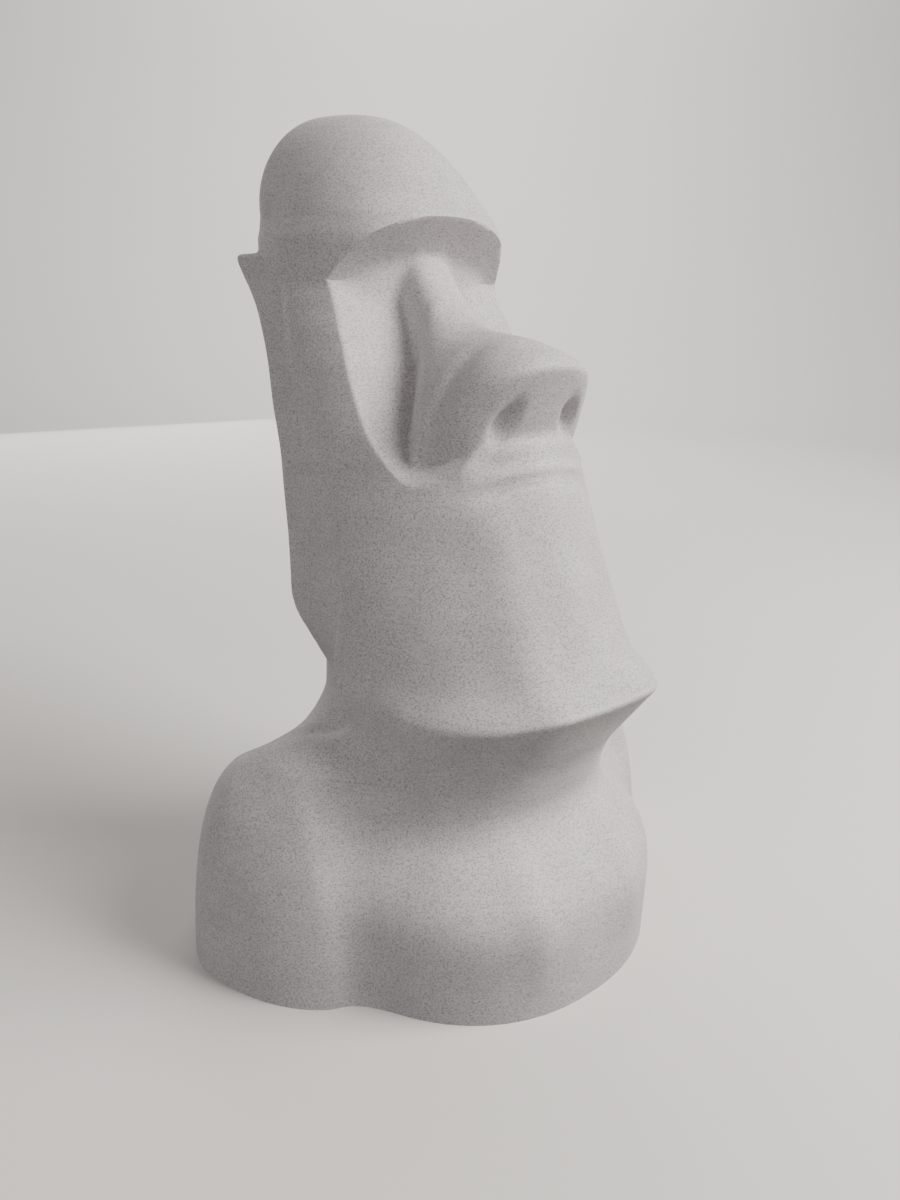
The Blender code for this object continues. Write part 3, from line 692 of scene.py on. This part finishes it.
class Signal:
    """Number in a shader tree; arithmetic on it adds Math nodes."""

    def __init__(self, graph, socket):
        self.graph = graph
        self.socket = socket

    def math(self, operation, first, second):
        """A Math node on two numbers or signals."""
        made = self.graph.node("ShaderNodeMath", {0: first, 1: second}, operation=operation)
        return Signal(self.graph, made.outputs[0])

    def __add__(self, other):
        return self.math("ADD", self, other)

    def __radd__(self, other):
        return self.math("ADD", other, self)

    def __sub__(self, other):
        return self.math("SUBTRACT", self, other)

    def __rsub__(self, other):
        return self.math("SUBTRACT", other, self)

    def __mul__(self, other):
        return self.math("MULTIPLY", self, other)

    def __rmul__(self, other):
        return self.math("MULTIPLY", other, self)

    def ramp(self, low, high):
        """0 below low, 1 above high, a smooth step between."""
        made = self.graph.node("ShaderNodeMapRange", {0: self, 1: low, 2: high, 3: 0.0, 4: 1.0},
                               interpolation_type="SMOOTHSTEP")
        return Signal(self.graph, made.outputs[0])


# Dust and pits are finer than the grains by these factors; the veil of clouds is far coarser.
DUST_FINENESS, PIT_FINENESS, VEIL_PER_METRE = 2.3, 1.6, 42.0
# Print layers along each axis: they waver slowly sideways and change fast upwards.
LAYERS_PER_METRE = (14.0, 14.0, 900.0)
# Curvatures per metre where the painted highlight on outward edges and the painted shade in creases
# begin and are full.
EDGE_HIGHLIGHT_BEND, CREASE_SHADE_BEND = (60.0, 420.0), (50.0, 350.0)
# Darkness of the dust as a share of the grains', of the layers and of the painted shade in the creases.
DUST_SHARE, LAYER_SHADE, CREASE_SHADE = 0.45, 0.05, 0.45
# Share of the layers in the relief; the pits have the rest.
LAYER_RELIEF = 0.6
STONE_ROUGH, STONE_SPECULAR = 0.66, 0.35


def stone_material(look):
    """Pale matt plastic made to look like stone.

    Dark grains and finer dust lie on a cloudy pale ground, with faint level layers in colour and
    relief. Edges, where the surface bends outwards, are painted pale as a highlight; creases are
    painted dark as shade.
    """
    g = Graph("speckled_stone")
    place = g.place()
    per_grain = 1.0 / look.grain_size
    lying = g.stretched(place, (1.0, 1.0, look.grain_flatness))
    grains = g.noise(lying, per_grain, detail=2.0, rough=0.65).ramp(low=0.47, high=0.62)
    dust = g.noise(lying, DUST_FINENESS * per_grain, detail=1.0).ramp(low=0.50, high=0.72)
    veil = g.noise(place, VEIL_PER_METRE, detail=3.0, rough=0.55).ramp(low=0.30, high=0.72)
    layers = g.noise(g.stretched(place, LAYERS_PER_METRE), 1.0, detail=1.0)
    bend = Signal(g, g.node("ShaderNodeAttribute", attribute_name="bend").outputs["Fac"])
    # Painted highlight: outward edges are made paler and lose their grains. Painted shade: creases are
    # made darker.
    painted_edge_highlight = bend.ramp(*EDGE_HIGHLIGHT_BEND) * look.edge_highlight_and_crease_shade
    painted_crease_shade = (0.0 - bend).ramp(*CREASE_SHADE_BEND) * look.edge_highlight_and_crease_shade
    stone = g.blend(veil, opaque(look.stone_dark), opaque(look.stone_light))
    stone = g.blend(painted_edge_highlight, stone, opaque(look.edge_highlight_colour))
    dark = grains * look.grain_strength + dust * (look.grain_strength * DUST_SHARE)
    dark = dark + layers.ramp(low=0.35, high=0.75) * LAYER_SHADE
    dark = dark * (1.0 - painted_edge_highlight) + painted_crease_shade * CREASE_SHADE
    g.put(g.shader.inputs["Base Color"], g.blend(dark, stone, opaque(look.grain_colour)))
    rough = STONE_ROUGH + grains * 0.10 - veil * 0.04 - painted_edge_highlight * 0.12
    g.put(g.shader.inputs["Roughness"], rough)
    g.put(g.shader.inputs["Specular IOR Level"], STONE_SPECULAR)
    pits = g.noise(lying, PIT_FINENESS * per_grain, detail=2.0)
    height = layers * LAYER_RELIEF + pits * (1.0 - LAYER_RELIEF)
    bump = g.node("ShaderNodeBump", {
        "Strength": look.layer_strength, "Distance": look.layer_depth, "Height": height})
    g.put(g.shader.inputs["Normal"], bump.outputs["Normal"])
    return g.material


def opaque(colour, shade=1.0):
    """Colour for a socket, times a shade."""
    return tuple(c * shade for c in colour) + (1.0,)


def floor_material(colour):
    """Plain matt floor with hardly seen clouds."""
    g = Graph("studio_floor")
    place = g.place()
    cloud = g.noise(place, 2.0, detail=2.0)
    g.put(g.shader.inputs["Base Color"], g.blend(cloud, opaque(colour, 0.97), opaque(colour)))
    g.put(g.shader.inputs["Roughness"], 0.85)
    return g.material


def soft_light(name, place, target, size, power, colour):
    """Square area light that looks from its place at the target."""
    data = bpy.data.lights.new(name, "AREA")
    data.shape = "SQUARE"
    data.size = size
    data.energy = power
    data.color = colour
    light = bpy.data.objects.new(name, data)
    light.location = place
    aim = Vector(target) - Vector(place)
    light.rotation_euler = aim.to_track_quat("-Z", "Y").to_euler()
    return light


class StoneHeadSettings(PropertyGroup):
    """Fineness and stone of the statue."""

    rows_factor: IntProperty(
        name="Rows", description="Rows of the fine surface for each CAD row", default=5, min=1)
    columns_factor: IntProperty(
        name="Columns", description="Columns for each CAD column", default=4, min=1)
    grain_size: FloatProperty(
        name="Grain size", description="Size of a dark grain",
        default=0.0011, unit="LENGTH", precision=4)
    grain_flatness: FloatProperty(
        name="Grain flatness", description="How many times wider than high a grain is", default=1.5)
    grain_strength: FloatProperty(
        name="Grain strength", description="How dark the grains are", default=0.55, subtype="FACTOR")
    stone_light: FloatVectorProperty(
        name="Light stone", description="Colour of the lighter areas",
        default=(0.66, 0.62, 0.612), subtype="COLOR", min=0.0, max=1.0)
    stone_dark: FloatVectorProperty(
        name="Dark stone", description="Colour of the darker areas",
        default=(0.60, 0.563, 0.557), subtype="COLOR", min=0.0, max=1.0)
    grain_colour: FloatVectorProperty(
        name="Grain", description="Colour of the dark grains",
        default=(0.17, 0.16, 0.165), subtype="COLOR", min=0.0, max=1.0)
    # Colour of the painted highlight on outward edges.
    edge_highlight_colour: FloatVectorProperty(
        name="Painted edge highlight", description="Colour of the painted highlight on outward edges",
        default=(0.74, 0.70, 0.69), subtype="COLOR", min=0.0, max=1.0)
    # Strength of the painted highlight on edges and of the painted shade in creases.
    edge_highlight_and_crease_shade: FloatProperty(
        name="Edge highlight and crease shade", description="How far edges are painted pale as a highlight and creases painted dark as shade",
        default=0.35, subtype="FACTOR")
    layer_strength: FloatProperty(
        name="Layer strength", description="Strength of the level print layers",
        default=0.5, subtype="FACTOR")
    layer_depth: FloatProperty(
        name="Layer depth", description="Depth of the level print layers",
        default=0.00012, unit="LENGTH", precision=5)


class StoneHeadStage(PropertyGroup):
    """Camera, light and floor, as in the photograph."""

    camera_at: FloatVectorProperty(
        name="Camera", description="Place of the camera",
        default=(-0.35957, -0.44104, 0.41000), unit="LENGTH")
    yaw: FloatProperty(
        name="Yaw", description="Turn of the view from straight ahead",
        default=math.radians(39.443), subtype="ANGLE")
    pitch: FloatProperty(
        name="Pitch", description="Fall of the view below level",
        default=math.radians(19.114), subtype="ANGLE")
    roll: FloatProperty(
        name="Roll", description="Turn of the picture", default=math.radians(-1.714), subtype="ANGLE")
    focal: FloatProperty(
        name="Focal length", description="Focal length in millimetres on a 36 mm high sensor",
        default=27.276)
    key_power: FloatProperty(
        name="Key", description="Power of the large soft light in watts", default=72.0)
    fill_power: FloatProperty(
        name="Fill", description="Power of the weak light from the other side", default=8.0)
    backdrop_power: FloatProperty(
        name="Backdrop", description="Power of the light on the wall behind", default=75.0)
    back_power: FloatProperty(
        name="Back", description="Power of the weak light behind the statue", default=12.0)
    air: FloatProperty(
        name="Air", description="Brightness of the room", default=0.20)
    floor_radius: FloatProperty(
        name="Floor radius", description="Radius of the level floor", default=2.4, unit="LENGTH")
    floor_curve: FloatProperty(
        name="Floor curve", description="Radius of the bend from floor to wall",
        default=1.4, unit="LENGTH")
    wall_height: FloatProperty(
        name="Wall height", description="Height of the wall over the bend",
        default=3.5, unit="LENGTH")
    floor_colour: FloatVectorProperty(
        name="Floor", description="Colour of the floor",
        default=(0.77, 0.73, 0.685), subtype="COLOR", min=0.0, max=1.0)


class STONEHEAD_OT_head(Operator):
    """Builds the fine surface of the statue in place of the CAD solid"""

    bl_idname = "stonehead.head"
    bl_label = "Build the head"

    def execute(self, context):
        look = context.scene.stone_head
        low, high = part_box(NODE)
        points = fit_to_box(fine_grid(look.rows_factor, look.columns_factor), low, high)
        if not np.isfinite(points).all():
            raise ValueError("the fine surface has points that are not numbers")
        data = closed_mesh(PIECE, points)
        data.materials.append(stone_material(look))
        head = bpy.data.objects.new(PIECE, data)
        context.scene.collection.objects.link(head)
        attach(head, "root")
        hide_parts(NODE)
        return {"FINISHED"}


class STONEHEAD_OT_stage(Operator):
    """Builds the floor, the soft lights and the camera"""

    bl_idname = "stonehead.stage"
    bl_label = "Build the stage"

    def execute(self, context):
        stage = context.scene.stone_head_stage
        scene = context.scene
        data = sweep_mesh("floor", stage.floor_radius, stage.floor_curve, stage.wall_height)
        data.materials.append(floor_material(stage.floor_colour))
        floor = bpy.data.objects.new("floor", data)
        floor.visible_diffuse = False
        scene.collection.objects.link(floor)
        warm, cool, plain = (1.0, 0.985, 0.96), (0.98, 0.98, 1.0), (1.0, 1.0, 1.0)
        middle, beyond = (0.0, 0.0, 0.25), (2.2, 2.7, 0.2)
        for name, place, target, size, power, colour in (
                ("key", (0.95, -1.15, 1.4), middle, 1.15, stage.key_power, warm),
                ("fill", (-1.6, -0.6, 0.7), middle, 1.4, stage.fill_power, cool),
                ("back", (0.2, 2.0, 0.8), middle, 1.6, stage.back_power, plain),
                ("backdrop", (1.3, 1.6, 2.2), beyond, 1.4, stage.backdrop_power, plain)):
            scene.collection.objects.link(soft_light(name, place, target, size, power, colour))
        world = bpy.data.worlds.new("room")
        world.use_nodes = True
        background = world.node_tree.nodes["Background"]
        background.inputs["Color"].default_value = AIR_COLOUR
        background.inputs["Strength"].default_value = stage.air
        scene.world = world
        lens = bpy.data.cameras.new("photo_view")
        lens.sensor_fit = "VERTICAL"
        lens.sensor_height = SENSOR_HEIGHT
        lens.lens = stage.focal
        lens.clip_start = 0.01
        lens.dof.use_dof = False
        camera = bpy.data.objects.new("photo_view", lens)
        look = Euler((math.pi / 2 - stage.pitch, 0.0, -stage.yaw)).to_matrix()
        turn = Matrix.Rotation(-stage.roll, 3, "Z")
        camera.matrix_world = Matrix.Translation(Vector(stage.camera_at)) @ (look @ turn).to_4x4()
        scene.collection.objects.link(camera)
        scene.camera = camera
        return {"FINISHED"}


class STONEHEAD_PT_panel(Panel):
    """Sizes, stone and stage of the stone head"""

    bl_idname = "STONEHEAD_PT_panel"
    bl_label = "Stone Head"
    bl_space_type = "VIEW_3D"
    bl_region_type = "UI"
    bl_category = "Stone Head"

    def draw(self, context):
        layout = self.layout
        for settings in (context.scene.stone_head, context.scene.stone_head_stage):
            for name in settings.__annotations__:
                layout.prop(settings, name)
        layout.operator(STONEHEAD_OT_head.bl_idname)
        layout.operator(STONEHEAD_OT_stage.bl_idname)


CLASSES = (StoneHeadSettings, StoneHeadStage, STONEHEAD_OT_head, STONEHEAD_OT_stage, STONEHEAD_PT_panel)


def register():
    for item in CLASSES:
        bpy.utils.register_class(item)
    bpy.types.Scene.stone_head = PointerProperty(type=StoneHeadSettings)
    bpy.types.Scene.stone_head_stage = PointerProperty(type=StoneHeadStage)


def unregister():
    del bpy.types.Scene.stone_head_stage
    del bpy.types.Scene.stone_head
    for item in reversed(CLASSES):
        bpy.utils.unregister_class(item)


def main():
    register()
    bpy.ops.stonehead.head()
    bpy.ops.stonehead.stage()


if __name__ == "__main__":
    main()
